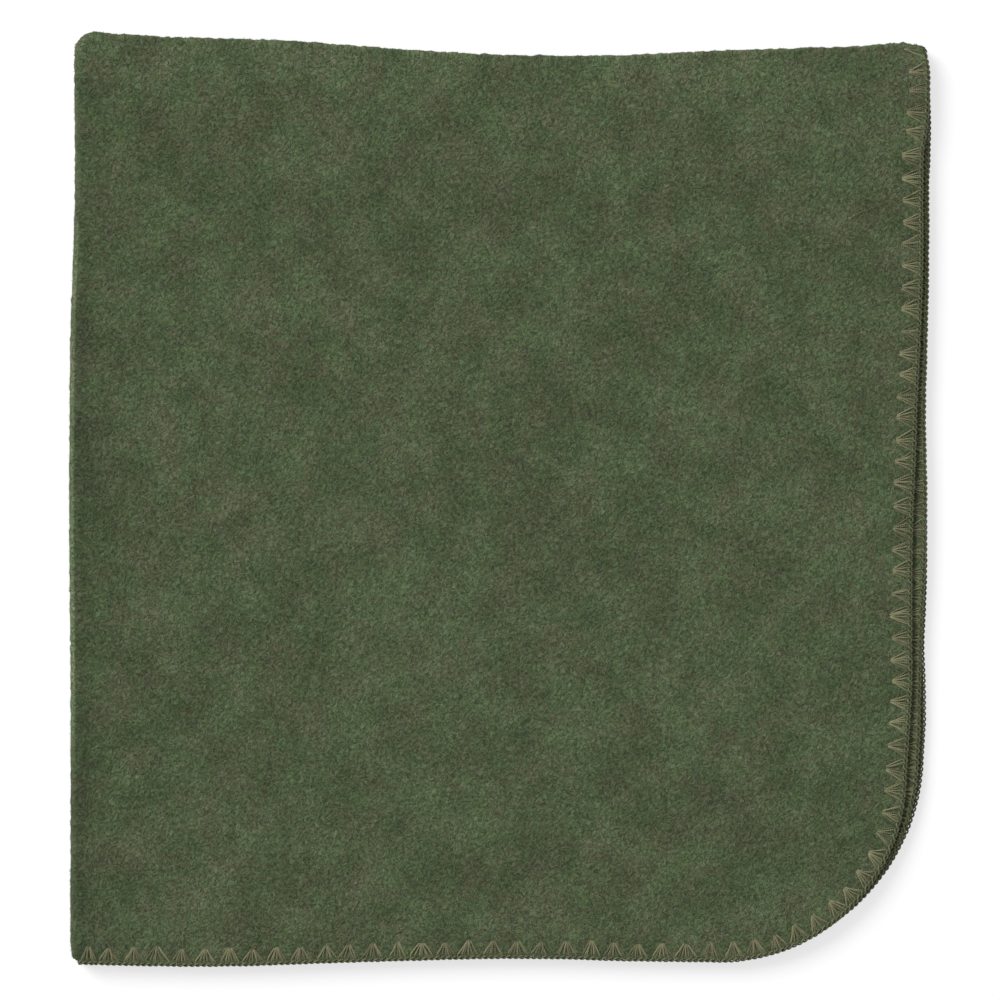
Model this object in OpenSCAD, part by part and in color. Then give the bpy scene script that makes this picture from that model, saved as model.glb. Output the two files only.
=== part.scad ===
// Felted wool blanket, folded in quarters: first down across its top crease, then over its side crease.
// +X runs from the side crease to the free side, +Y to the top creases, +Z up through the layers.
// The origin is the centre of the pack's footprint, on the surface that it lies on.

/* [Pack] */
// Width of the folded pack, from the side crease to the free side
pack_w = 378; // [320:1:440]
// Length of the folded pack, from the top creases to the free end
pack_l = 411; // [340:1:480]
// Radius of the blanket's round corners
corner_r = 85; // [50:1:110]

/* [Cloth] */
// Thickness of the felted cloth
cloth_t = 2.3; // [2:0.1:3.2]
// Gap between neighbouring layers
layer_gap = 0.3; // [0.2:0.05:0.6]

/* [Folding] */
// How far the top layer's free side has drifted inwards where its round corner starts
drift_1 = 8.8; // [4:0.1:10]
// The same for the second layer
drift_2 = 3.5; // [0:0.1:6]
// The same for the third layer
drift_3 = 1.5; // [0:0.1:4]

/* [Edging] */
// Distance from one stitched shell to the next
shell_pitch = 10.6; // [9:0.1:14]
// Width of a shell at the chained edge
shell_w = 8; // [5:0.1:8.5]
// Width of a shell at its needle hole
shell_tip_w = 1.2; // [0.6:0.1:2]
// Length of a shell, from its needle hole to the chained edge
shell_l = 7; // [5:0.1:9]
// Thickness of the thread on each face of the cloth
thread_t = 0.4; // [0.3:0.05:0.6]
// Width of the chained edge
chain_w = 2.4; // [2.4:0.1:4]

/* [Hidden] */
$fn = 96;

cloth_colour = [0.31, 0.35, 0.25];
fan_colour = [0.44, 0.42, 0.28];
chain_colour = [0.36, 0.38, 0.22];

// Layers are counted from the top: layer 1 is the highest, and layer 4 lies on the surface.
layer_pitch = cloth_t + layer_gap;
pack_t = 4 * cloth_t + 3 * layer_gap;
pack_mid_z = pack_t / 2;
inner_crease_r = layer_pitch / 2;
outer_crease_r = 3 * layer_pitch / 2;

// The creases start at these two planes, and the free edges end at the other two.
crease_x = -pack_w / 2 + pack_t / 2;
crease_y = pack_l / 2 - pack_t / 2;
free_x = pack_w / 2;
free_y = -pack_l / 2;

// The outer crease takes more cloth than the inner one, so layers 1 and 4 together fall short of layers 2 and 3.
crease_excess = PI * (outer_crease_r - inner_crease_r);
drift_4 = crease_excess + drift_2 + drift_3 - drift_1;
drifts = [drift_1, drift_2, drift_3, drift_4];

// Shells stop this far short of whatever they would otherwise touch.
shell_gap = 0.2;
// Size of the step at the chained edge's corners.
chain_step = 0.5;
// Straight stretches that make up a round corner.
arc_steps = 32;
border_w = chain_w + shell_l + 2 * shell_gap;

function layer_z(layer) = (4 - layer) * layer_pitch;

// The free side leans inwards by this angle, and the round corner is tangent to it and to the free end.
function lean(layer) = atan(drifts[layer - 1] / (crease_y - free_y - corner_r));
function corner_y() = free_y + corner_r;
function corner_x(layer) =
    free_x - (sin(lean(layer)) * (crease_y - corner_y()) + corner_r) / cos(lean(layer));
function side_run(layer) =
    (crease_y - corner_y()) / cos(lean(layer)) + (corner_r - border_w) * tan(lean(layer));
function end_run(layer) = corner_x(layer) - crease_x;

// Points along a quarter's free edges, set in by inset: down the free side, round the corner, to the side crease.
function free_edge(layer, inset) = concat(
    [[free_x - inset / cos(lean(layer)), crease_y]],
    [for (i = [0 : arc_steps])
        let (angle = -lean(layer) - i / arc_steps * (90 - lean(layer)))
        [corner_x(layer), corner_y()] + (corner_r - inset) * [cos(angle), sin(angle)]],
    [[crease_x, free_y + inset]]
);
function reversed(points) = [for (i = [len(points) - 1 : -1 : 0]) points[i]];

// The flat shape of one quarter inside its free edges, set in by inset.
module quarter_outline(layer, inset) {
    polygon(concat([[crease_x, crease_y]], free_edge(layer, inset)));
}

// The flat strip along a quarter's free edges, between two insets.
module edge_strip(layer, outer_inset, inner_inset) {
    polygon(concat(free_edge(layer, outer_inset), reversed(free_edge(layer, inner_inset))));
}

// One quarter of the cloth. Its border is thinner on both faces, so that the shells lie flush in it.
module quarter(layer) {
    color(cloth_colour) translate([0, 0, layer_z(layer)]) {
        linear_extrude(cloth_t) quarter_outline(layer, border_w);
        translate([0, 0, thread_t])
            linear_extrude(cloth_t - 2 * thread_t) quarter_outline(layer, chain_w);
    }
}

// A crease is half a ring of cloth. It starts at the origin and runs along +Z, on the +Y side.
module crease(mid_r, length) {
    rotate_extrude(angle = 180)
        translate([mid_r - cloth_t / 2, 0]) square([cloth_t, length]);
}

// The creases along the top: their axis is turned to +X.
module top_fold(mid_z) {
    color(cloth_colour) translate([crease_x, crease_y, mid_z])
        rotate([0, 90, 0]) crease(inner_crease_r, free_x - chain_w - crease_x);
}

// The creases along the side, with a round cap over the corner where they meet the top creases.
module side_fold(mid_r) {
    outer_r = mid_r + cloth_t / 2;
    color(cloth_colour) translate([crease_x, crease_y, pack_mid_z]) {
        rotate([90, -90, 0]) crease(mid_r, crease_y - free_y - chain_w);
        intersection() {
            difference() {
                sphere(outer_r);
                sphere(outer_r - cloth_t);
            }
            translate([-outer_r, 0, -outer_r]) cube([outer_r, outer_r, 2 * outer_r]);
        }
    }
}

// Cross-section of the chained edge: flat against the cloth, with stepped corners on the outside.
module chain_profile() {
    square([chain_w - chain_step, cloth_t]);
    translate([0, chain_step]) square([chain_w, cloth_t - 2 * chain_step]);
}

// Chained edge of one quarter, with the same cross-section along the whole of its free edges.
module edge_chain(layer) {
    color(chain_colour) translate([0, 0, layer_z(layer)]) {
        linear_extrude(cloth_t) edge_strip(layer, chain_step, chain_w);
        translate([0, 0, chain_step])
            linear_extrude(cloth_t - 2 * chain_step) edge_strip(layer, 0, chain_w);
    }
}

// The chained edge where it turns round the end of a crease, from the origin outwards along +Z.
module chain_turn(mid_r) {
    rotate_extrude(angle = 180)
        translate([mid_r, 0]) rotate(90) translate([0, -cloth_t / 2]) chain_profile();
}

module top_fold_chain(mid_z) {
    color(chain_colour) translate([free_x - chain_w, crease_y, mid_z])
        rotate([0, 90, 0]) chain_turn(inner_crease_r);
}

module side_fold_chain(mid_r) {
    color(chain_colour) translate([crease_x, free_y + chain_w, pack_mid_z])
        rotate([90, -90, 0]) chain_turn(mid_r);
}

// One stitched shell on both faces of the cloth: a fan that narrows along -X to its needle hole.
module shell() {
    for (z = [0, cloth_t - thread_t])
        translate([0, 0, z]) linear_extrude(thread_t) polygon([
            [-shell_gap, -shell_w / 2],
            [-shell_gap, shell_w / 2],
            [-shell_gap - shell_l, shell_tip_w / 2],
            [-shell_gap - shell_l, -shell_tip_w / 2]
        ]);
}

// A straight row of shells that starts at the origin and runs along +Y.
module shell_row(length) {
    count = floor(length / shell_pitch);
    for (i = [0 : count - 1])
        translate([0, (i + 0.5) * length / count, 0]) shell();
}

// All the shells of one quarter, in the same three runs as its chained edge.
module shell_stitches(layer) {
    edge_r = corner_r - chain_w;
    sweep = 90 - lean(layer);
    corner_count = floor(edge_r * sweep * PI / 180 / shell_pitch);
    color(fan_colour) translate([corner_x(layer), corner_y(), layer_z(layer)]) {
        rotate([0, 0, -lean(layer)]) translate([edge_r, 0, 0]) shell_row(side_run(layer));
        for (i = [0 : corner_count - 1])
            rotate([0, 0, -90 + (i + 0.5) * sweep / corner_count])
                translate([edge_r, 0, 0]) shell();
        translate([-end_run(layer), 0, 0]) rotate([0, 0, -90])
            translate([edge_r, 0, 0]) shell_row(end_run(layer));
    }
}

quarter(1);  // quarter_1
quarter(2);  // quarter_2
quarter(3);  // quarter_3
quarter(4);  // quarter_4
top_fold(pack_mid_z + layer_pitch);  // top_fold_upper
top_fold(pack_mid_z - layer_pitch);  // top_fold_lower
side_fold(outer_crease_r);  // side_fold_outer
side_fold(inner_crease_r);  // side_fold_inner
shell_stitches(1);  // shell_stitches_1
shell_stitches(2);  // shell_stitches_2
shell_stitches(3);  // shell_stitches_3
shell_stitches(4);  // shell_stitches_4
edge_chain(1);  // edge_chain_1
edge_chain(2);  // edge_chain_2
edge_chain(3);  // edge_chain_3
edge_chain(4);  // edge_chain_4
top_fold_chain(pack_mid_z + layer_pitch);  // top_fold_chain_upper
top_fold_chain(pack_mid_z - layer_pitch);  // top_fold_chain_lower
side_fold_chain(outer_crease_r);  // side_fold_chain_outer
side_fold_chain(inner_crease_r);  // side_fold_chain_inner
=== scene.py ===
"""A felted wool camp blanket, folded in quarters, with shell stitches and a chained edge."""

import math

import bpy
import numpy as np
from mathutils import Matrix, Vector
from mathutils.geometry import delaunay_2d_cdt


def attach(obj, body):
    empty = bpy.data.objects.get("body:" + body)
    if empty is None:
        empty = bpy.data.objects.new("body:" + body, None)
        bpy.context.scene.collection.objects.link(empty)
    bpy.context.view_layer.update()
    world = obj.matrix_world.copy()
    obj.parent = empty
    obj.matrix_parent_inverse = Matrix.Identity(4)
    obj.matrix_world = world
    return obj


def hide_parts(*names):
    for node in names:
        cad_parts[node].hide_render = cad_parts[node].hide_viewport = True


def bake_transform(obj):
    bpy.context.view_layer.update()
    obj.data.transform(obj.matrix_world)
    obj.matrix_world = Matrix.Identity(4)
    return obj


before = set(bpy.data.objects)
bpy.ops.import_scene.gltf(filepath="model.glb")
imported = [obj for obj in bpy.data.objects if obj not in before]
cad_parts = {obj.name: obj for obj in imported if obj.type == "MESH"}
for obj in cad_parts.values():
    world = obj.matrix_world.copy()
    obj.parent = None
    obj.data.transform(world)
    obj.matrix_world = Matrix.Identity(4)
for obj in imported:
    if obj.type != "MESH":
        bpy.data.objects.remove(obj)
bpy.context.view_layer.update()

# Lengths are in mm until a mesh is made.
MM = 0.001
RNG = np.random.default_rng(7)

# The cloth's thickness and the gap between layers give the pack's thickness, the height of each layer's
# middle, and the creases' radii. Layers are counted from the top.
CLOTH_T = 2.3
LAYER_GAP = 0.3
LAYER_PITCH = CLOTH_T + LAYER_GAP
PACK_T = CLOTH_T + 3 * LAYER_PITCH
CENTRE_Z = PACK_T / 2
MIDDLE_Z = {layer: CLOTH_T / 2 + (4 - layer) * LAYER_PITCH for layer in (1, 2, 3, 4)}
INNER_R = LAYER_PITCH / 2
OUTER_R = 3 * LAYER_PITCH / 2

# The felt stops short of the chained outline, and thins over the stitched border.
FELT_INSET = 1.1
BORDER = 12.6
EDGE_STEP = 0.5


def curve(*knots):
    """A smooth function through a few (position, value) knots."""
    at, value = (np.array(column, float) for column in zip(*sorted(knots)))
    slope = np.gradient(value, at)

    def evaluate(t):
        t = np.clip(t, at[0], at[-1])
        i = np.clip(np.searchsorted(at, t) - 1, 0, len(at) - 2)
        width = at[i + 1] - at[i]
        u = (t - at[i]) / width
        start = (2 * u**3 - 3 * u**2 + 1) * value[i] + (u**3 - 2 * u**2 + u) * width * slope[i]
        stop = (3 * u**2 - 2 * u**3) * value[i + 1] + (u**3 - u**2) * width * slope[i + 1]
        return start + stop

    return evaluate


def ease(t, start, stop):
    """Rises smoothly from 0 at start to 1 at stop."""
    u = np.clip((np.asarray(t, float) - start) / (stop - start), 0, 1)
    return u * u * (3 - 2 * u)


def bell(t, width):
    """A smooth bump of height 1 round 0."""
    return np.exp(-(t**2) / (2 * width**2))


def ripple(count, shortest, longest):
    """A gentle random relief from -1 to 1, made of waves between two lengths."""
    length = np.exp(RNG.uniform(math.log(shortest), math.log(longest), count))
    direction = RNG.normal(size=(count, 3))
    direction /= np.linalg.norm(direction, axis=1)[:, None]
    phase = RNG.uniform(0, 2 * math.pi, count)

    def evaluate(points):
        waves = np.zeros(len(points))
        for i in range(count):
            waves += np.sin(points @ direction[i] * (2 * math.pi / length[i]) + phase[i])
        return waves / math.sqrt(2 * count) / 1.5

    return evaluate


# Outlines. Each free side is x against y, each free end is y against x.
FREE_SIDE = {
    1: curve(
        (197.6, 187.5), (192.5, 188.8), (178, 189.2), (163, 188.5), (155, 187.0), (136, 186.5),
        (103, 186.4), (70, 185.2), (37, 183.7), (15, 183.0), (-7, 182.0), (-51, 181.5), (-84, 181.4),
        (-106, 180.1), (-125, 178.8),
    ),
    2: curve(
        (197.6, 187.6), (191.5, 188.7), (160, 189.0), (103, 189.0), (70, 188.4), (37, 187.6), (4, 188.2),
        (-29, 187.8), (-51, 186.6), (-84, 185.6), (-106, 185.2), (-125, 183.6),
    ),
    3: curve(
        (197.6, 187.6), (191.5, 188.7), (160, 189.0), (100, 188.7), (37, 187.4), (4, 188.1), (-29, 188.3),
        (-51, 187.7), (-62, 187.1), (-84, 187.7), (-95, 187.8), (-106, 187.4), (-125, 185.4),
    ),
    4: curve((197.6, 187.6), (191.5, 188.5), (100, 187.5), (0, 186.0), (-125, 184.4)),
}
END_LINE = curve((-184, -205.1), (-130, -206.0), (-60, -204.0), (10, -202.5), (60, -203.6), (110, -204.2))
END_RECESS = {1: 0.0, 2: 0.5, 3: 0.4, 4: 0.8}
CORNER_R = {1: 82, 2: 89, 3: 92, 4: 90}

# The lines that the felt turns round. The side crease is x against y, the top crease y against x.
SIDE_CREASE = curve(
    (197, -182.3), (118, -182.35), (87, -183.55), (17, -184.45), (-22, -184.5), (-60, -184.1),
    (-206, -184.1),
)
TOP_CREASE = curve(
    (-178.6, 203.05), (-169, 202.2), (-88, 198.85), (-44, 195.4), (0, 193.0), (33, 192.45), (66, 193.35),
    (105, 195.1), (132, 195.95), (158, 196.85), (172, 197.8), (179, 198.1), (184, 197.6), (187.2, 196.2),
)
# Where the felt and the free edges end at the top crease, and the free end's y at the side crease.
FREE_TOP_X = 187.2
FREE_TOP_Y = 196.2
FREE_END_Y = -205
# The round corner where the two creases meet.
CORNER_TURN_R = 3.55
CORNER_TURN = (-178.6, 196.95)
# Where the free end's y is taken to place a round corner, and how many steps to either side are smoothed.
CORNER_START_X = 100
SMOOTHING = 14
# Past this x the top crease bends down to its free end, and its points lie closer together.
FINE_X = 184


def free_end(layer, x):
    """The outline's y along a layer's free end. Lower layers end further in, except at the side crease."""
    return END_LINE(x) + END_RECESS[layer] * (0.25 + 0.75 * ease(x, -184, -150))


def free_outline(layer):
    """Points down a quarter's free side, round its corner and along its free end to the side crease."""
    radius = CORNER_R[layer]
    y = free_end(layer, CORNER_START_X) + radius
    x = FREE_SIDE[layer](y) - radius
    down = np.arange(FREE_TOP_Y, y, -EDGE_STEP)
    turn = np.arange(0, math.pi / 2, EDGE_STEP / radius)
    along = np.arange(x, SIDE_CREASE(FREE_END_Y), -EDGE_STEP)
    points = np.concatenate([
        np.stack([FREE_SIDE[layer](down), down], 1),
        np.stack([x + radius * np.cos(turn), y - radius * np.sin(turn)], 1),
        np.stack([along, free_end(layer, along)], 1),
    ])
    before = 2 * points[0] - points[SMOOTHING:0:-1]
    after = 2 * points[-1] - points[-2:-SMOOTHING - 2:-1]
    window = np.hanning(2 * SMOOTHING + 1)
    padded = np.concatenate([before, points, after])
    return np.stack([np.convolve(padded[:, i], window / window.sum(), "valid") for i in (0, 1)], 1)


def corner_arc(count):
    """Directions round the creases' corner, from across the side crease to across the top crease."""
    turn = np.linspace(math.pi, math.pi / 2, count)
    return np.stack([np.cos(turn), np.sin(turn)], 1)


def top_crease_steps(step, fine_step):
    """Places x along the top crease, from the creases' corner to its free end."""
    fine = np.arange(FINE_X + 0.5, FREE_TOP_X + 0.1, fine_step)
    return np.append(np.arange(CORNER_TURN[0], FINE_X, step), fine)


def crease_outline():
    """Points up the side crease, round the corner where the creases meet, and along the top crease."""
    up = np.arange(FREE_END_Y + 1, CORNER_TURN[1], 1.5)
    along = top_crease_steps(1.5, 0.45)
    return np.concatenate([
        np.stack([SIDE_CREASE(up), up], 1),
        np.array(CORNER_TURN) + CORNER_TURN_R * corner_arc(6),
        np.stack([along, TOP_CREASE(along)], 1),
    ])


class Edge:
    """A quarter's free edge as a frame: distance along it, inset from its outline, and height."""

    BLOCK = 2000

    def __init__(self, layer):
        points = free_outline(layer)
        walked = np.append(0, np.cumsum(np.linalg.norm(np.diff(points, axis=0), axis=1)))
        self.layer = layer
        self.length = walked[-1]
        self.at = np.linspace(0, self.length, int(self.length / EDGE_STEP) + 1)
        self.path = np.stack([np.interp(self.at, walked, points[:, i]) for i in (0, 1)], 1)
        heading = np.gradient(self.path, axis=0)
        self.heading = heading / np.linalg.norm(heading, axis=1)[:, None]

    def along(self, s, pairs):
        """Pairs of values that are kept for points of the path, at distances s."""
        return np.stack([np.interp(s, self.at, pairs[:, i]) for i in (0, 1)], -1)

    def frame(self, s):
        """The outline's place, heading, outward direction and up direction at distances s."""
        s = np.asarray(s, float)
        origin = self.along(s, self.path)
        heading = self.along(s, self.heading)
        beyond = np.clip(s - self.length, 0, None) + np.clip(s, None, 0)
        origin = origin + heading * beyond[..., None]
        flat = np.zeros(s.shape + (1,))
        height = np.full(s.shape + (1,), MIDDLE_Z[self.layer])
        outward = np.concatenate([-heading[..., 1:], heading[..., :1], flat], -1)
        up = np.concatenate([flat, flat, flat + 1], -1)
        return np.concatenate([origin, height], -1), np.concatenate([heading, flat], -1), outward, up

    def nearest(self, points):
        """Distance along the edge and inset from its outline, for points in the plane."""
        index = np.empty(len(points), int)
        for first in range(0, len(points), self.BLOCK):
            block = points[first:first + self.BLOCK, None]
            gap = (block[..., 0] - self.path[:, 0]) ** 2 + (block[..., 1] - self.path[:, 1]) ** 2
            index[first:first + self.BLOCK] = gap.argmin(1)
        offset = points - self.path[index]
        heading = self.heading[index]
        inset = offset[:, 0] * heading[:, 1] - offset[:, 1] * heading[:, 0]
        return self.at[index] + (offset * heading).sum(1), inset


class Turn:
    """The edge where the felt turns round a crease, from one layer to a lower one, as an Edge-like frame."""

    def __init__(self, upper, lower, towards, outward, radius, bulge=1.0):
        self.upper = np.array(upper, float)
        self.lower = np.array(lower, float)
        self.towards = np.array(towards, float)
        self.outward = np.array(outward, float)
        self.radius = radius
        self.bulge = bulge
        self.length = math.pi * radius

    def frame(self, s):
        angle = np.asarray(s, float)[..., None] / self.radius
        top = np.array([0.0, 0.0, 1.0])
        up = np.cos(angle) * top + np.sin(angle) * self.bulge * self.towards
        heading = np.cos(angle) * self.bulge * self.towards - np.sin(angle) * top
        centre = self.upper + (self.lower - self.upper) * angle / math.pi
        return centre + self.radius * up, heading, np.broadcast_to(self.outward, up.shape), up


def place(edge, s, inset, height):
    """Points in the row frame at distances s along an edge, at insets and heights from it."""
    origin, _, outward, up = edge.frame(s)
    return origin - outward * np.asarray(inset)[..., None] + up * np.asarray(height)[..., None]


# Shells: their pitch, which grows past the round corner, the shares of a pitch left over at the creases,
# how far the last shell reaches past the side crease, and how far the needle holes lie in from the edge.
SHELL_PITCH = 9.65
PITCH_GROWTH = 0.95
FIRST_SHARE = 0.30
LAST_SHARE = 0.68
LAST_REACH = 1.4
HOLE_INSET = 9.9


def shell_marks(edge):
    """Distances along a free edge between shells. The first and the last shell straddle a crease."""
    pitch = SHELL_PITCH + PITCH_GROWTH * ease(edge.at, 290, 340)
    count = np.append(0, np.cumsum(np.diff(edge.at) / pitch[1:]))
    whole = round(count[-1] - FIRST_SHARE - LAST_SHARE)
    total = FIRST_SHARE + whole + LAST_SHARE
    marks = np.interp(np.arange(whole + 1) + FIRST_SHARE, count * total / count[-1], edge.at)
    return np.concatenate([[marks[0] - pitch[0]], marks, [edge.length + LAST_REACH]])


def shell_reach(edge, s):
    """Inset of the needle holes: the shells are shorter along the free end."""
    return HOLE_INSET - 0.5 * ease(s, 300, 360) - 0.7 * ease(s, edge.length - 300, edge.length - 230)


edges = {layer: Edge(layer) for layer in MIDDLE_Z}
for edge in edges.values():
    edge.marks = shell_marks(edge)

# The felt's relief: how much it ripples, thins at the border, dips at a needle hole and puffs up between
# shells. A dimple is round, and a puff is longer towards the edge than it is wide.
RELIEF = ripple(28, 7, 26)
RELIEF_HEIGHT = 0.06
THINNING = 0.40
DIMPLE = 0.50
DIMPLE_R = 0.8
PUFF = 0.34
PUFF_INSET = 6.5
PUFF_HALF_WIDTH = 1.5
PUFF_HALF_LENGTH = 2.6


def half_thickness(edge, s, inset, cloth):
    """Half the felt's thickness: rounded at the edge, dimpled at the holes, puffed between the shells."""
    thin = THINNING * (1 - ease(inset, 2.5, BORDER))
    nose = np.clip((inset - FELT_INSET) / 2.0, 0.04, 1)
    half = (CLOTH_T / 2 - thin) * np.sqrt(1 - (1 - nose) ** 2)
    if edge is not None:
        marks = edge.marks
        centres = (marks[1:] + marks[:-1]) / 2
        aside = s - centres[np.abs(s[:, None] - centres[None, :]).argmin(1)]
        between = s - marks[np.abs(s[:, None] - marks[None, :]).argmin(1)]
        half -= DIMPLE * bell(aside, DIMPLE_R) * bell(inset - shell_reach(edge, s), DIMPLE_R)
        half += PUFF * bell(between, PUFF_HALF_WIDTH) * bell(inset - PUFF_INSET, PUFF_HALF_LENGTH)
    return half + RELIEF_HEIGHT * RELIEF(cloth) * ease(inset, 3.0, 9.0)


# How deep a chained edge presses into the layer below, how far outside its outline it presses most, and
# within what reach.
PRESS_DEPTH = 0.95
PRESS_OUTSIDE = 0.5
PRESS_WIDTH = 1.5


def press_mark(layer, flat):
    """How deep the chained edge of the layer above has pressed into this layer's upper face."""
    if layer - 1 not in edges:
        return np.zeros(len(flat))
    _, inset = edges[layer - 1].nearest(flat)
    return PRESS_DEPTH * np.exp(-(((inset + PRESS_OUTSIDE) / PRESS_WIDTH) ** 2))


# How much the pack sinks behind the side crease, behind the top crease and over its face, and the reach of
# the first two. Its underside stays just above the floor.
SWELL = ripple(16, 70, 260)
SIDE_SINK = 0.20
TOP_SINK = 0.16
FACE_SINK = 0.18
SINK_REACH = 4.5
LOWEST_Z = 0.02


def settle(points):
    """Lets the pack sink a little, unevenly, behind its creases and over its face. It lies flat below."""
    x, y = points[:, 0], points[:, 1]
    behind_side = np.clip(x - SIDE_CREASE(y), 0, None)
    behind_top = np.clip(TOP_CREASE(x) - y, 0, None)
    sink = SIDE_SINK * (1 - np.exp(-behind_side / SINK_REACH))
    sink = sink + TOP_SINK * (1 - np.exp(-behind_top / SINK_REACH))
    flat = points.copy()
    flat[:, 2] = 0
    sink += FACE_SINK * (1 + np.clip(SWELL(flat), -1, 1)) * ease(behind_side, 0, 60)
    settled = points.copy()
    settled[:, 2] = np.maximum(settled[:, 2] * (1 - sink / PACK_T), LOWEST_Z)
    return settled


# Painted light and shade: how much lighter the faces are painted near the top crease, how much darker near
# the side, and within what reach.
TOP_LIGHTER = 0.12
SIDE_DARKER = 0.24
SIDE_REACH = 8


def painted_shading(flat):
    """Painted light near the top crease, less painted shade near the side: how much lighter the felt's faces
    are painted.
    """
    x, y = flat[:, 0], flat[:, 1]
    from_side = np.clip(x - SIDE_CREASE(y), 0, None)
    darker = SIDE_DARKER * (1 - 0.7 * ease(y, 95, 175)) * np.exp(-from_side / SIDE_REACH)
    return TOP_LIGHTER * (1 - ease(TOP_CREASE(x) - y, 12, 22)) - darker


def build(name, points, faces, attributes, material):
    """A mesh object from points in mm, arrays of faces, and named point attributes."""
    mesh = bpy.data.meshes.new(name)
    mesh.vertices.add(len(points))
    mesh.vertices.foreach_set("co", (settle(points) * MM).astype(np.float32).ravel())
    sizes = np.concatenate([np.full(len(f), f.shape[1]) for f in faces])
    corners = np.concatenate([f.ravel() for f in faces]).astype(np.int32)
    mesh.loops.add(len(corners))
    mesh.loops.foreach_set("vertex_index", corners)
    mesh.polygons.add(len(sizes))
    mesh.polygons.foreach_set("loop_start", np.append(0, np.cumsum(sizes)[:-1]).astype(np.int32))
    mesh.polygons.foreach_set("use_smooth", np.ones(len(sizes), bool))
    mesh.update(calc_edges=True)
    for key, values in attributes.items():
        kind = "FLOAT_VECTOR" if values.ndim == 2 else "FLOAT"
        layer = mesh.attributes.new(key, kind, "POINT")
        layer.data.foreach_set("vector" if values.ndim == 2 else "value", values.astype(np.float32).ravel())
    mesh.set_sharp_from_angle(angle=math.radians(65))
    mesh.materials.append(material)
    piece = bpy.data.objects.new(name, mesh)
    bpy.context.scene.collection.objects.link(piece)
    return piece


# Which way up each layer's good face lies. The pattern runs on round the creases, on either face.
FACE_UP = {1: 1, 2: -1, 3: 1, 4: -1}
FACE_DEPTH = 6.0


def cloth_place(layer, x, y):
    """Flat coordinates of points of a quarter. The blanket's first quarter keeps its own x and y."""
    crease_x, crease_y = SIDE_CREASE(y), TOP_CREASE(x)
    u = x
    if layer in (3, 4):
        u = 2 * crease_x - x - math.pi * (INNER_R if layer == 3 else OUTER_R)
    v = y
    if layer in (2, 3):
        v = 2 * crease_y - y + math.pi * INNER_R
    return u, v


# A quarter's points: rows along its border, and a grid inside it that alternates from row to row.
BORDER_ROWS = (1.25, 1.5, 1.9, 2.4, 3.0, 3.7, 4.5, 5.5, 6.6, 7.8, 9.0, 10.2, 11.6)
GRID = 2.9


def within_creases(points, margin):
    """Whether points of the plane lie inside both creases by a margin."""
    x, y = points[:, 0], points[:, 1]
    return (x > SIDE_CREASE(y) + margin) & (y < TOP_CREASE(x) - margin)


def plan(edge):
    """A quarter in the plane: its points, its triangles, and those of their sides that form its outline."""
    crease = crease_outline()
    crease = crease[crease[:, 1] > edge.path[-1, 1] + FELT_INSET + 0.4]
    s = np.linspace(0, edge.length, int(edge.length / 1.2))
    rim = place(edge, s, np.full_like(s, FELT_INSET), np.zeros_like(s))[:, :2]
    level = np.zeros_like(s)
    strip = np.concatenate([place(edge, s, np.full_like(s, row), level)[:, :2] for row in BORDER_ROWS])
    x, y = np.meshgrid(np.arange(-182, 190, GRID), np.arange(FREE_END_Y, 204, GRID))
    x = x + GRID / 2 * (np.arange(len(x)) % 2)[:, None]
    grid = np.stack([x.ravel(), y.ravel()], 1)
    outline = np.concatenate([crease, rim])
    _, inset = edge.nearest(grid)
    off_corner = (grid[:, 0] > CORNER_TURN[0]) | (grid[:, 1] < CORNER_TURN[1] - 1)
    kept = grid[(inset > BORDER + 0.3) & within_creases(grid, 1.2) & off_corner]
    inside = np.concatenate([strip, kept])
    flat = np.concatenate([outline, inside[within_creases(inside, 0.6)]])
    loop = list(range(len(outline)))[::-1]
    made = delaunay_2d_cdt([Vector(p) for p in flat], [], [loop], 1, 1e-5)
    flat = np.array([tuple(p) for p in made[0]], float)
    triangles = np.array(made[2], int)
    a, b, c = (flat[triangles[:, i]] for i in range(3))
    turning = (b[:, 0] - a[:, 0]) * (c[:, 1] - a[:, 1]) - (b[:, 1] - a[:, 1]) * (c[:, 0] - a[:, 0])
    triangles[turning < 0] = triangles[turning < 0][:, ::-1]
    sides = np.concatenate([triangles[:, [0, 1]], triangles[:, [1, 2]], triangles[:, [2, 0]]])
    keys = np.sort(sides, axis=1) @ np.array([len(flat), 1])
    _, first, uses = np.unique(keys, return_index=True, return_counts=True)
    return flat, triangles, sides[first[uses == 1]]


def quarter(layer, edge, material):
    """One quarter of the felt, with both of its faces and its cut."""
    flat, triangles, border = plan(edge)
    s, inset = edge.nearest(flat)
    u, v = cloth_place(layer, flat[:, 0], flat[:, 1])
    points, cloth = [], []
    for side in (1, -1):
        at = np.stack([u, v, np.full_like(u, FACE_DEPTH * FACE_UP[layer] * side)], 1)
        height = MIDDLE_Z[layer] + side * half_thickness(edge, s, inset, at)
        if side == 1:
            height -= press_mark(layer, flat) * ease(inset, FELT_INSET, FELT_INSET + 1.0)
        points.append(np.column_stack([flat, height]))
        cloth.append(at)
    low = len(flat)
    walls = np.column_stack([border[:, 1], border[:, 0], border[:, 0] + low, border[:, 1] + low])
    faces = [triangles, triangles[:, ::-1] + low, walls]
    # The felt's painted light near the top crease and painted shade near the side crease go with its points.
    attributes = {"cloth": np.concatenate(cloth), "painted_shading": np.tile(painted_shading(flat), 2)}
    return build(f"felt_quarter_{layer}", np.concatenate(points), faces, attributes, material)


# The bumps on the outside of a crease, and how many points go half round it.
FOLD_RELIEF = ripple(26, 2.6, 8)
FOLD_BUMPS = 0.26
EXTRA_TOP_BUMPS = 0.24
FOLD_STEPS = 25


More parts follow.
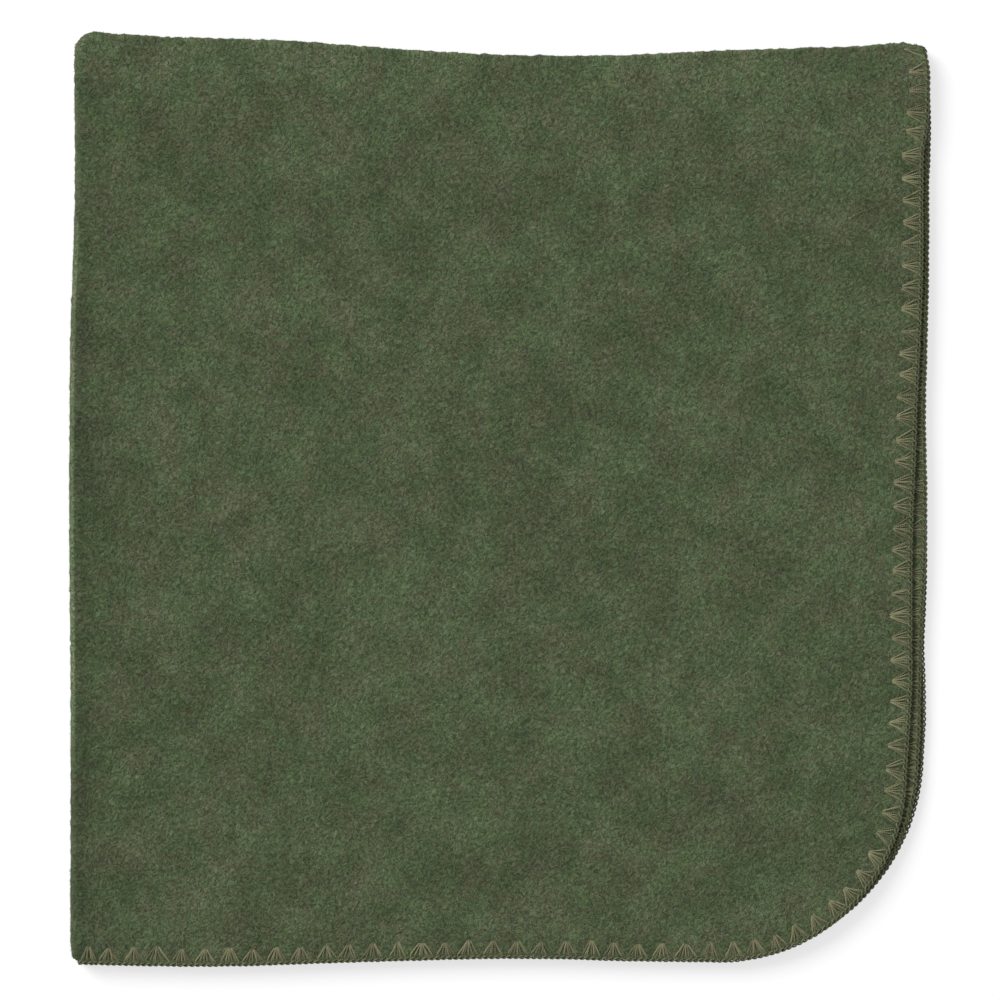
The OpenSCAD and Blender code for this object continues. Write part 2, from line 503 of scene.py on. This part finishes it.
def painted_highlight(turns, line, across):
    """A painted highlight: how much lighter the side crease's upper shoulder is painted, along its middle
    stretch.
    """
    shoulder = ease(np.sin(turns), 0.40, 0.56)
    lower = np.where(turns < math.pi / 2, 1 - 0.5 * ease(np.sin(turns), 0.7, 0.95), 0.5)
    y = line[:, 1:2]
    stretch = 0.12 + 0.88 * ease(y, -125, -100) * (1 - ease(y, 90, 140))
    return np.clip(-across[:, :1], 0, 1) ** 4 * stretch * (shoulder * lower)


def sweep(name, line, across, radius, inset, cloth_of, material, square=1.0):
    """Felt turned half round a crease line, bulging towards across. Also gives its outer points."""
    turns = np.linspace(0, math.pi, FOLD_STEPS)
    round_x = np.abs(np.sin(turns)) ** square
    round_z = np.sign(np.cos(turns)) * np.abs(np.cos(turns)) ** square
    count, wide = len(line), len(turns)
    points, cloth = [], []
    for side in (-1, 1):
        at = cloth_of(turns, side).reshape(-1, 3)
        half = half_thickness(None, None, np.repeat(inset, wide), at).reshape(count, wide)
        reach = np.maximum(radius + side * half, 0.12)
        if side == 1:
            bumps = FOLD_BUMPS + EXTRA_TOP_BUMPS * np.clip(across[:, 1:], 0, 1)
            reach = reach + bumps * FOLD_RELIEF(at).reshape(count, wide) * np.sin(turns)
        flat = line[:, None, :2] + across[:, None, :] * (reach * round_x)[..., None]
        height = line[:, None, 2] + reach * round_z
        points.append(np.concatenate([flat, height[..., None]], 2).reshape(-1, 3))
        cloth.append(at)
    low = count * wide
    grid = np.arange(low).reshape(count, wide)
    inner = np.stack([grid[:-1, 1:], grid[1:, 1:], grid[1:, :-1], grid[:-1, :-1]], -1).reshape(-1, 4)
    loop = np.concatenate([grid[:-1, 0], grid[-1, :-1], grid[:0:-1, -1], grid[0, :0:-1]])
    after = np.roll(loop, -1)
    walls = np.column_stack([loop, after, after + low, loop + low])
    faces = [inner, inner[:, ::-1] + low, walls]
    # A painted highlight on the side crease's shoulder; the painted light and shade near the creases gives
    # way to it.
    painted_rim = painted_highlight(turns, line, across)
    attributes = {
        "cloth": np.concatenate(cloth),
        "painted_rim": np.tile(painted_rim.ravel(), 2),
        "painted_shading": np.tile((painted_shading(line)[:, None] * (1 - painted_rim)).ravel(), 2),
    }
    fold = build(name, np.concatenate(points), faces, attributes, material)
    return fold, points[1].reshape(count, wide, 3)


# The side creases' free end: how far in it starts, how little it bulges there, and where it bulges fully.
END_INSET = 2.0
END_BULGE = 0.35
END_ROUND = 4.6
END_ROWS = (0, 0.2, 0.45, 0.8, 1.3, 1.8, 2.4)


def side_fold(name, radius, upper_layer, material):
    """The felt turned round the side crease, drawn in at its free end, round at the creases' corner."""
    start = free_end(1, -184.0) + END_INSET
    up = np.concatenate([start + np.array(END_ROWS), np.arange(start + 3, CORNER_TURN[1], 0.9)])
    arc = corner_arc(9)
    flat = np.concatenate([np.stack([SIDE_CREASE(up), up], 1), np.array(CORNER_TURN) + CORNER_TURN_R * arc])
    from_end = np.clip(1 - (up - start) / END_ROUND, 0, 1)
    bulge = END_BULGE + (1 - END_BULGE) * np.sqrt(1 - from_end**2)
    across = np.concatenate([np.stack([-bulge, 0 * bulge], 1), arc])
    line = np.column_stack([flat, np.full(len(flat), CENTRE_Z)])
    inset = flat[:, 1] - start + FELT_INSET

    def cloth_of(turns, side):
        unrolled = flat[:, None, :] + across[:, None, :] * (radius * turns)[:, None]
        if upper_layer == 2:
            unrolled[..., 1] = 2 * TOP_CREASE(flat[:, None, 0]) - unrolled[..., 1] + math.pi * INNER_R
        depth = np.full(unrolled.shape[:2] + (1,), FACE_DEPTH * FACE_UP[upper_layer] * side)
        return np.concatenate([unrolled, depth], 2)

    return sweep(name, line, across, radius, inset, cloth_of, material, square=0.78)


def top_fold(name, upper_layer, material):
    """The felt where it turns round the top crease, between two neighbouring layers."""
    x = top_crease_steps(0.9, 0.3)
    line = np.column_stack([x, TOP_CREASE(x), np.full_like(x, MIDDLE_Z[upper_layer] - INNER_R)])
    across = np.tile([0.0, 1.0], (len(x), 1))

    def cloth_of(turns, side):
        u, v = cloth_place(upper_layer, x, TOP_CREASE(x))
        rolled = INNER_R * turns if upper_layer == 1 else -INNER_R * turns
        unrolled = np.stack(np.broadcast_arrays(u[:, None], v[:, None] + rolled), 2)
        depth = np.full(unrolled.shape[:2] + (1,), FACE_DEPTH * side)
        return np.concatenate([unrolled, depth], 2)

    return sweep(name, line, across, INNER_R, FREE_TOP_X + FELT_INSET - x, cloth_of, material, square=0.9)


def tubes(name, lines, guide, radius, sides, tone, material):
    """Round threads. lines is strands x points x 3, and guide is a direction that no strand runs along."""
    steps = np.linalg.norm(np.diff(lines, axis=1), axis=2)
    walked = np.concatenate([np.zeros((len(lines), 1)), np.cumsum(steps, axis=1)], 1)
    ahead = np.gradient(lines, axis=1)
    ahead /= np.linalg.norm(ahead, axis=2)[..., None]
    first = guide - ahead * (guide * ahead).sum(-1)[..., None]
    first /= np.linalg.norm(first, axis=2)[..., None]
    second = np.cross(ahead, first)
    angle = np.arange(sides) * 2 * math.pi / sides
    spoke = first[:, :, None] * np.cos(angle)[:, None] + second[:, :, None] * np.sin(angle)[:, None]
    ring = lines[:, :, None] + radius * spoke
    index = np.arange(ring.size // 3).reshape(ring.shape[:3])
    after = np.roll(index, -1, axis=2)
    walls = np.stack([index[:, :-1], after[:, :-1], after[:, 1:], index[:, 1:]], -1).reshape(-1, 4)
    caps = np.concatenate([index[:, 0, ::-1], index[:, -1]])
    twist = np.stack(np.broadcast_arrays(walked[:, :, None], np.cos(angle), np.sin(angle)), -1)
    tones = np.broadcast_to(tone[:, None, None], index.shape)
    attributes = {"twist": twist.reshape(-1, 3), "tone": tones.ravel()}
    return build(name, ring.reshape(-1, 3), [walls, caps], attributes, material)


HAIR_R = 0.10
HAIR_SIDES = 3
HAIR_POINTS = 5


def loose_hairs(name, surface, count, longest, material):
    """Wool hairs over a crease. They rise from points of its surface, bend over and lie down again."""
    normals = np.cross(np.gradient(surface, axis=1), np.gradient(surface, axis=0)).reshape(-1, 3)
    at = RNG.integers(0, len(normals), count)
    starts = surface.reshape(-1, 3)[at]
    normals = normals[at] / np.linalg.norm(normals[at], axis=1)[:, None]
    aside = np.cross(normals, RNG.normal(size=(count, 3)))
    aside /= np.linalg.norm(aside, axis=1)[:, None]
    bend = np.cross(normals, aside) * RNG.normal(0, 0.35, (count, 1))
    t = np.linspace(0, 1, HAIR_POINTS)[None, :, None]
    length = RNG.uniform(0.4 * longest, longest, (count, 1, 1))
    rise = RNG.uniform(0.15, 0.70, (count, 1, 1))
    lines = starts[:, None] + aside[:, None] * length * t + bend[:, None] * length * t**2
    lines = lines + normals[:, None] * (rise * np.sin(math.pi * t * 0.9) - 0.12)
    hairs = tubes(name, lines, normals[:, None], HAIR_R, HAIR_SIDES, RNG.uniform(0, 1, count), material)
    anywhere = np.repeat(RNG.uniform(-180, 180, (count, 3)), HAIR_POINTS * HAIR_SIDES, axis=0)
    cloth = hairs.data.attributes.new("cloth", "FLOAT_VECTOR", "POINT")
    cloth.data.foreach_set("vector", anywhere.astype(np.float32).ravel())
    return hairs


# Fans: thread radius, threads in each, half their spread at the hole, the inset where they leave the face.
FAN_R = 0.36
FAN_THREADS = 7
HOLE_SPREAD = 0.45
FACE_INSET = 2.7
# Distances along the edge: where its first thread may lie, how far past its end the last one may, how far
# past either crease a thread is left out, and how far past the top crease a hole may lie on the outer face.
FIRST_THREAD = 0.3
LAST_THREAD = 0.7
PAST_TOP = 0.9
PAST_SIDE = 1.3
HOLE_PAST_TOP = 6.0
# Near the top crease, holes on the outer face lie this share of their inset further towards it.
HOLE_SHIFT = 0.33


def spread_threads(edge):
    """Where threads lie on the upper face: distances along the edge, insets, and shares of their run."""
    marks = edge.marks
    shells = len(marks) - 1
    threads = shells * FAN_THREADS
    centre = np.repeat((marks[1:] + marks[:-1]) / 2 + RNG.normal(0, 0.25, shells), FAN_THREADS)
    wide = np.repeat((marks[1:] - marks[:-1]) * RNG.uniform(0.37, 0.45, shells), FAN_THREADS)
    lean = np.tile(np.linspace(-1, 1, FAN_THREADS), shells) + RNG.normal(0, 0.10, threads)
    hole = shell_reach(edge, centre) + np.repeat(RNG.normal(0, 0.35, shells), FAN_THREADS)
    hole = hole + RNG.normal(0, 0.15, threads)
    share = np.linspace(0, 1, 9)
    spread = share ** RNG.uniform(0.85, 1.25, (threads, 1))
    aside = lean[:, None] * (HOLE_SPREAD + (wide[:, None] - HOLE_SPREAD) * spread)
    aside += RNG.normal(0, 0.16, (threads, 1)) * np.sin(math.pi * share)
    s = centre[:, None] + aside
    kept = (s[:, -1] > -PAST_TOP) & (s[:, -1] < edge.length + PAST_SIDE)
    s, hole, share = s[kept], hole[kept], np.tile(share, (kept.sum(), 1))
    inset = hole[:, None] + (FACE_INSET - hole[:, None]) * share
    start = FIRST_THREAD
    if FACE_UP[edge.layer] == 1:
        start = -HOLE_PAST_TOP
        s = s - HOLE_SHIFT * (inset - 1) * (1 - ease(s, 0, 6))
    return np.clip(s, start, edge.length + LAST_THREAD), inset, share


def fans(name, edge, material):
    """One quarter's shells: threads that spread from each hole, round the edge, and back to the hole."""
    s, inset, share = spread_threads(edge)
    half = half_thickness(edge, s.ravel(), inset.ravel(), np.zeros((s.size, 3))).reshape(s.shape)
    lift = 0.07 - 0.75 * np.exp(-share / 0.06) + RNG.uniform(0, 0.16, (len(s), 1)) * np.sin(math.pi * share)
    height = half + lift - 0.35 * ease(share, 0.8, 1.0)
    on_face = place(edge, s, inset, height)[..., :2].reshape(-1, 2)
    pressed = press_mark(edge.layer, on_face).reshape(s.shape) * (1 - ease(share, 0.8, 1.0))
    fold_r = INNER_R + CLOTH_T / 2
    beyond = np.clip(on_face[:, 1] - TOP_CREASE(on_face[:, 0]), 0, 0.9 * fold_r).reshape(s.shape)
    turned = height - pressed - fold_r + np.sqrt(fold_r**2 - beyond**2)
    bend = np.linspace(0, math.pi, 5)[1:-1]
    edge_height = height[:, -1:]
    round_s = np.repeat(s[:, -1:], 3, axis=1)
    round_inset = FACE_INSET - 1.5 * np.sin(bend) + np.zeros_like(round_s)
    round_height = edge_height * np.cos(bend)
    along = np.concatenate([s, round_s, np.maximum(s, FIRST_THREAD)[:, ::-1]], 1)
    lines = place(
        edge,
        along,
        np.concatenate([inset, round_inset, inset[:, ::-1]], 1),
        np.concatenate([turned, round_height, -height[:, ::-1]], 1),
    )
    _, heading, _, _ = edge.frame(along)
    return tubes(name, lines, heading, FAN_R, 5, RNG.uniform(0, 1, len(lines)), material)


# The chain: thread radius, points in a link, its inset, half a link's width, how high its threads rise at
# a crossing, how high it rises where it is tilted, and the links to a shell.
CHAIN_R = 0.40
CHAIN_STEPS = 8
CHAIN_INSET = 1.22
EYE = 0.84
CROSSING_RISE = 0.36
TILTED_RISE = 0.55
LINKS_PER_SHELL = 4
# How far the chain is tilted up, along the free sides and at the end of the free ends.
SIDE_TILT = 0.45
END_TILT = 0.95


def chain(name, edge, marks, tilt, material):
    """Two threads that cross at each mark along an edge, with eyes between. tilt lifts the inner one."""
    q = np.arange((len(marks) - 1) * CHAIN_STEPS + 1) / CHAIN_STEPS
    s = np.interp(q, np.arange(len(marks)), marks)
    size = EYE * (1 + 0.10 * np.interp(q, np.arange(len(marks)), RNG.uniform(-1, 1, len(marks))))
    wander = 0.10 * np.interp(q, np.arange(len(marks)), RNG.uniform(-1, 1, len(marks)))
    turn = tilt(s)
    lines, guides = [], []
    for strand in (1, -1):
        aside = strand * size * np.sign(np.sin(math.pi * q)) * np.abs(np.sin(math.pi * q)) ** 0.8
        rise = strand * CROSSING_RISE * np.cos(math.pi * q)
        inset = CHAIN_INSET + wander - aside * np.cos(turn) - rise * np.sin(turn)
        height = (TILTED_RISE - aside) * np.sin(turn) + rise * np.cos(turn)
        lines.append(place(edge, s, inset, height))
        guides.append(edge.frame(s)[2])
    return tubes(name, np.array(lines), np.array(guides), CHAIN_R, 6, np.array([0.35, 0.65]), material)


# Materials.
class Shader:
    """A node material, built with short calls. An input is a constant or another node's output."""

    def __init__(self, name):
        self.material = bpy.data.materials.new(name)
        self.material.use_nodes = True
        self.tree = self.material.node_tree
        self.tree.nodes.clear()

    def add(self, kind, inputs=(), output=0, **settings):
        node = self.tree.nodes.new("ShaderNode" + kind)
        for key, value in settings.items():
            setattr(node, key, value)
        for key, value in dict(inputs).items():
            if isinstance(value, bpy.types.NodeSocket):
                self.tree.links.new(value, node.inputs[key])
            else:
                node.inputs[key].default_value = value
        return node.outputs[output]

    def maths(self, operation, *values):
        return self.add("Math", dict(enumerate(values)), operation=operation)

    def vector(self, operation, *values):
        return self.add("VectorMath", dict(enumerate(values)), operation=operation)

    def noise(self, at, scale, detail=2.0, roughness=0.5, colour=False):
        inputs = {"Vector": at, "Scale": scale, "Detail": detail, "Roughness": roughness}
        return self.add("TexNoise", inputs, output=1 if colour else 0)

    def remap(self, value, low, high, to_low, to_high):
        inputs = {"Value": value, "From Min": low, "From Max": high, "To Min": to_low, "To Max": to_high}
        return self.add("MapRange", inputs, interpolation_type="SMOOTHSTEP")

    def blend(self, share, first, second):
        """The mix of two colours."""
        return self.add("Mix", {0: share, 6: first, 7: second}, output=2, data_type="RGBA")

    def attribute(self, name, output=1):
        return self.add("Attribute", output=output, attribute_name=name)

    def finish(self, colour, normal=None, **constants):
        """Ends in a Principled surface. Underscores in the constants' names stand for spaces."""
        inputs = {"Base Color": colour}
        if normal:
            inputs["Normal"] = normal
        inputs.update({key.replace("_", " "): value for key, value in constants.items()})
        surface = self.add("BsdfPrincipled", inputs)
        output = self.tree.nodes.new("ShaderNodeOutputMaterial")
        self.tree.links.new(surface, output.inputs["Surface"])
        return self.material


# The felt's fibres: each colour, how strongly it covers, and how much it lifts the pile. Their tones are the
# wool's own mix and partly painted: lighter on fibres that stand up, as painted light, and darker on those
# that sit low, as painted shade.
FIBRES = (
    ((0.067, 0.055, 0.035, 1), 0.46, 0.3),
    ((0.016, 0.020, 0.011, 1), 0.57, -0.5),
    ((0.058, 0.101, 0.042, 1), 0.56, 0.5),
    ((0.089, 0.091, 0.038, 1), 0.43, 0.5),
    ((0.020, 0.030, 0.017, 1), 0.57, -0.5),
    ((0.100, 0.124, 0.076, 1), 0.45, 0.7),
)


def felt_material():
    """Felted wool: short curled fibres of several greens and browns, matted together."""
    shader = Shader("felt")
    cloth = shader.attribute("cloth")
    curl = shader.vector("SUBTRACT", shader.noise(cloth, 0.42, 1.0, 0.5, colour=True), (0.5, 0.5, 0.5))
    kink = shader.vector("SUBTRACT", shader.noise(cloth, 1.30, 1.0, 0.5, colour=True), (0.5, 0.5, 0.5))
    warped = shader.vector("MULTIPLY_ADD", curl, (3.0, 3.0, 0.0), cloth)
    warped = shader.vector("MULTIPLY_ADD", kink, (0.9, 0.9, 0.0), warped)

    colour = shader.blend(
        shader.remap(shader.noise(cloth, 1.1, 2.0, 0.6), 0.30, 0.70, 0, 1),
        (0.027, 0.037, 0.0175, 1),
        (0.054, 0.070, 0.035, 1),
    )
    pile = shader.noise(cloth, 1.1, 2.0, 0.6)
    for i, (tone, strength, lift) in enumerate(FIBRES):
        turned = shader.add(
            "VectorRotate",
            {"Vector": warped, "Axis": (0, 0, 1), "Angle": 0.3 + i * math.radians(150)},
            rotation_type="AXIS_ANGLE",
        )
        stretched = shader.vector("MULTIPLY_ADD", turned, (1.60, 0.62, 1.0), (17.3 * i, 9.1 * i, 5.7 * i))
        fibre = shader.remap(shader.noise(stretched, 1.0, 1.0, 0.5), 0.50, 0.64, 0, 1)
        fibre = shader.maths("MULTIPLY", fibre, strength)
        colour = shader.blend(fibre, colour, tone)
        pile = shader.maths("MULTIPLY_ADD", fibre, lift, pile)

    hue = shader.remap(shader.noise(cloth, 0.085, 3.0, 0.6), 0.32, 0.68, 0, 1)
    tint = shader.blend(hue, (0.93, 1.03, 0.93, 1), (1.07, 0.98, 1.03, 1))
    colour = shader.vector("MULTIPLY", colour, tint)
    elsewhere = shader.vector("ADD", cloth, (70, 30, 0))
    blotch = shader.remap(shader.noise(elsewhere, 0.055, 2.0, 0.5), 0.25, 0.75, 0.87, 1.22)
    colour = shader.add("VectorMath", {0: colour, "Scale": blotch}, operation="SCALE")
    # The painted highlight on the side crease's shoulder makes the felt up to 1.65 times lighter.
    painted_rim = shader.remap(shader.attribute("painted_rim", 2), 0, 1, 1, 1.65)
    # Painted light near the top crease and painted shade near the side crease scale the felt's colour.
    lightness = shader.maths("MULTIPLY", painted_rim, shader.maths("ADD", shader.attribute("painted_shading", 2), 1.0))
    colour = shader.add("VectorMath", {0: colour, "Scale": lightness}, operation="SCALE")
    normal = shader.add("Bump", {"Height": pile, "Strength": 0.8, "Distance": 0.0004})
    return shader.finish(
        colour,
        normal,
        Roughness=0.95,
        Specular_IOR_Level=0.12,
        Sheen_Weight=0.20,
        Sheen_Roughness=0.35,
        Sheen_Tint=(0.75, 0.85, 0.62, 1),
    )


# The length of thread in one turn of its twist.
TWIST_LENGTH = 0.9


def thread_material(name, dark, light):
    """Twisted spun thread. Its twist is in the bump and, as painted light and shade, in the colour; its tone
    varies from thread to thread.
    """
    shader = Shader(name)
    twist = shader.add("SeparateXYZ", {0: shader.attribute("twist")})
    along = shader.maths("MULTIPLY", twist, 2 * math.pi / TWIST_LENGTH)
    split = twist.node
    spiral = shader.maths(
        "ADD",
        shader.maths("MULTIPLY", shader.maths("SINE", along), split.outputs[1]),
        shader.maths("MULTIPLY", shader.maths("COSINE", along), split.outputs[2]),
    )
    wear = shader.maths("MULTIPLY", shader.noise(shader.attribute("twist"), 1.1, 2.0, 0.6), 0.6)
    tone = shader.maths("MULTIPLY_ADD", shader.attribute("tone", 2), 0.55, wear)
    # Painted light and shade along the twist: the colour follows the same spiral as the bump.
    tone = shader.maths("MULTIPLY_ADD", spiral, 0.12, tone)
    colour = shader.blend(shader.remap(tone, 0.1, 0.9, 0, 1), dark, light)
    normal = shader.add("Bump", {"Height": spiral, "Strength": 0.6, "Distance": 0.00008})
    return shader.finish(
        colour,
        normal,
        Roughness=0.8,
        Specular_IOR_Level=0.25,
        Sheen_Weight=0.08,
        Sheen_Roughness=0.5,
        Sheen_Tint=(0.8, 0.8, 0.6, 1),
    )


felt = felt_material()
fan_thread = thread_material("fan_thread", (0.042, 0.041, 0.021, 1), (0.143, 0.140, 0.074, 1))
chain_thread = thread_material("chain_thread", (0.026, 0.031, 0.014, 1), (0.100, 0.113, 0.054, 1))


# The cloth and its edging, quarter by quarter. The chain's first and last links keep clear of the creases.
CREASE_CLEARANCE = 1.2
quarters, stitching = {}, {}
for layer, edge in edges.items():
    body = "upper_leaf" if layer < 3 else "lower_leaf"
    shells = len(edge.marks) - 1
    count = np.arange(LINKS_PER_SHELL * shells + 1) / LINKS_PER_SHELL
    links = np.interp(count, np.arange(shells + 1), edge.marks)
    links = links[(links > CREASE_CLEARANCE) & (links < edge.length - CREASE_CLEARANCE)]
    links = np.concatenate([[0], links, [edge.length]])
    quarters[layer] = quarter(layer, edge, felt)
    fan_piece = fans(f"fan_threads_{layer}", edge, fan_thread)
    end = edge.length
    tilt = curve((0, SIDE_TILT), (end - 380, SIDE_TILT), (end - 250, 0.9), (end, END_TILT))
    chain_piece = chain(f"chain_threads_{layer}", edge, links, tilt, chain_thread)
    stitching[layer] = [fan_piece, chain_piece]
    for piece, node, slot in (
        (quarters[layer], "quarter", "felt"),
        (fan_piece, "shell_stitches", "fan_thread"),
        (chain_piece, "edge_chain", "chain_thread"),
    ):
        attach(piece, body)
        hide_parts(f"{node}_{layer}")


# The creases along the top, each with its turn of chain. Hairs are counted, and measured by the longest.
TOP_HAIRS = 4200
TOP_HAIR = 1.5
SIDE_HAIRS = 6500
SIDE_HAIR = 2.2
for name, upper_layer, body in (("upper", 1, "upper_leaf"), ("lower", 3, "lower_leaf")):
    fold, surface = top_fold(f"felt_top_fold_{name}", upper_layer, felt)
    hairs = loose_hairs(f"loose_hairs_top_{name}", surface, TOP_HAIRS, TOP_HAIR, felt)
    height = MIDDLE_Z[upper_layer] - INNER_R
    ends = [(edges[k].path[0, 0], FREE_TOP_Y, height) for k in (upper_layer, upper_layer + 1)]
    turn = Turn(ends[0], ends[1], (0, 1, 0), (1, 0, 0), INNER_R)
    tilt = curve((0, SIDE_TILT), (turn.length, -SIDE_TILT))
    loops = chain(f"chain_top_fold_{name}", turn, np.linspace(0, turn.length, 3), tilt, chain_thread)
    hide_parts(f"top_fold_{name}")
    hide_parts(f"top_fold_chain_{name}")
    for piece, slot in ((fold, "felt"), (hairs, "felt"), (loops, "chain_thread")):
        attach(piece, body)
    stitching[upper_layer] += [fold, hairs, loops]


# The creases down the side.
LINK_LENGTH = 2.3
for name, radius, upper_layer, lower_layer in (("outer", OUTER_R, 1, 4), ("inner", INNER_R, 2, 3)):
    fold, surface = side_fold(f"felt_side_fold_{name}", radius, upper_layer, felt)
    ends = [tuple(edges[k].path[-1]) + (CENTRE_Z,) for k in (upper_layer, lower_layer)]
    turn = Turn(ends[0], ends[1], (-1, 0, 0), (0, -1, 0), radius, END_BULGE)
    crossings = np.linspace(0, turn.length, round(turn.length / LINK_LENGTH) + 1)
    tilt = curve((0, END_TILT), (turn.length, -END_TILT))
    loops = chain(f"chain_side_fold_{name}", turn, crossings, tilt, chain_thread)
    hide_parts(f"side_fold_{name}")
    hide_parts(f"side_fold_chain_{name}")
    turning = [(fold, "felt"), (loops, "chain_thread")]
    if name == "outer":
        turning.append((loose_hairs("loose_hairs_side", surface, SIDE_HAIRS, SIDE_HAIR, felt), "felt"))
    for piece, slot in turning:
        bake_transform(piece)
    stitching[lower_layer] += [piece for piece, _ in turning]


# Floor, light and camera, in metres. The camera looks straight down, as in the photo.
FLOOR_REACH = 2
SKY_BRIGHTNESS = (0.15, 0.85)
KEY_TOWARDS = (1.05, -0.85, -1.0)
CAMERA_PLACE = (0, -0.0004, 2.451)
floor_corners = [(x * FLOOR_REACH, y * FLOOR_REACH, 0) for x, y in ((-1, -1), (1, -1), (1, 1), (-1, 1))]
floor_mesh = bpy.data.meshes.new("floor")
floor_mesh.from_pydata(floor_corners, [], [(0, 1, 2, 3)])
floor = bpy.data.objects.new("floor", floor_mesh)
floor_shader = Shader("floor")
floor_material = floor_shader.finish(
    (0.25, 0.25, 0.25, 1),
    Roughness=0.9,
    Specular_IOR_Level=0.1,
    Emission_Color=(1, 1, 1, 1),
    Emission_Strength=0.66,
)
floor_mesh.materials.append(floor_material)
bpy.context.scene.collection.objects.link(floor)

world = bpy.data.worlds.new("studio")
world.use_nodes = True
sky = world.node_tree
towards = sky.nodes.new("ShaderNodeTexCoord")
height = sky.nodes.new("ShaderNodeSeparateXYZ")
brightness = sky.nodes.new("ShaderNodeMapRange")
brightness.inputs["To Min"].default_value = SKY_BRIGHTNESS[0]
brightness.inputs["To Max"].default_value = SKY_BRIGHTNESS[1]
background = sky.nodes["Background"]
background.inputs["Color"].default_value = (1, 1, 1, 1)
sky.links.new(towards.outputs["Generated"], height.inputs[0])
sky.links.new(height.outputs["Z"], brightness.inputs["Value"])
sky.links.new(brightness.outputs["Result"], background.inputs["Strength"])
bpy.context.scene.world = world
bpy.context.scene.view_settings.view_transform = "Standard"

key_light = bpy.data.lights.new("key", "SUN")
key_light.energy = 5.0
key_light.angle = math.radians(40)
key = bpy.data.objects.new("key", key_light)
key.rotation_euler = Vector(KEY_TOWARDS).to_track_quat("-Z", "Y").to_euler()
bpy.context.scene.collection.objects.link(key)

lens = bpy.data.cameras.new("camera")
lens.lens = 200
lens.sensor_width = 36
camera = bpy.data.objects.new("camera", lens)
camera.location = CAMERA_PLACE
bpy.context.scene.collection.objects.link(camera)
bpy.context.scene.camera = camera
